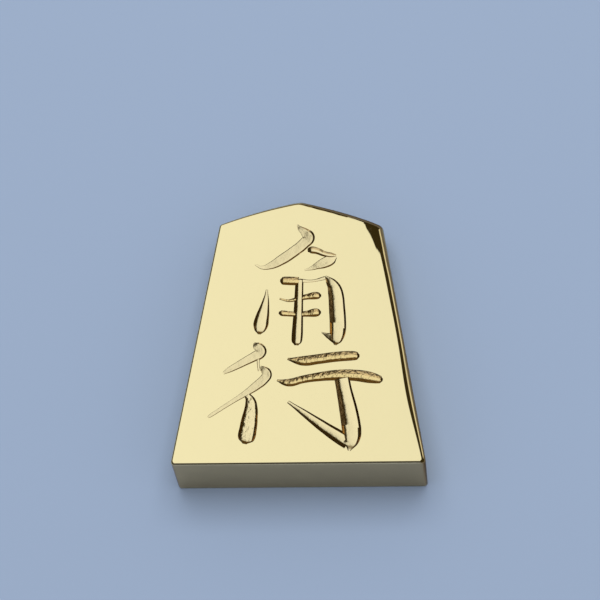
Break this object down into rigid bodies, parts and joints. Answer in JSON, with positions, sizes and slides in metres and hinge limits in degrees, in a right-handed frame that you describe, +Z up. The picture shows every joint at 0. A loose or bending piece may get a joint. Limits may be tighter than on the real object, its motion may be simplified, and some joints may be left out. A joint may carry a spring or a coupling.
{
  "type": "shogi piece",
  "caption": "Wedge-shaped five-sided shogi piece of solid brass with a polished gold-plated skin, flat on both faces so that it lies on a board.",
  "frame": {"origin": "on the resting back face, at the middle of the piece's own box in X and Y", "axes": "+X across the piece's width, +Y from the butt to the apex, +Z up, out of the front face"},
  "size_m": [0.0276, 0.0314, 0.0093],
  "materials": {
    "milled_brass": "milled and buffed, under the plating",
    "polished_gold": "mirror-polished pale gold plate"
  },
  "bodies": {
    "root": {"brass_core": "milled_brass", "gold_plating": "polished_gold"}
  },
  "joints": []
}
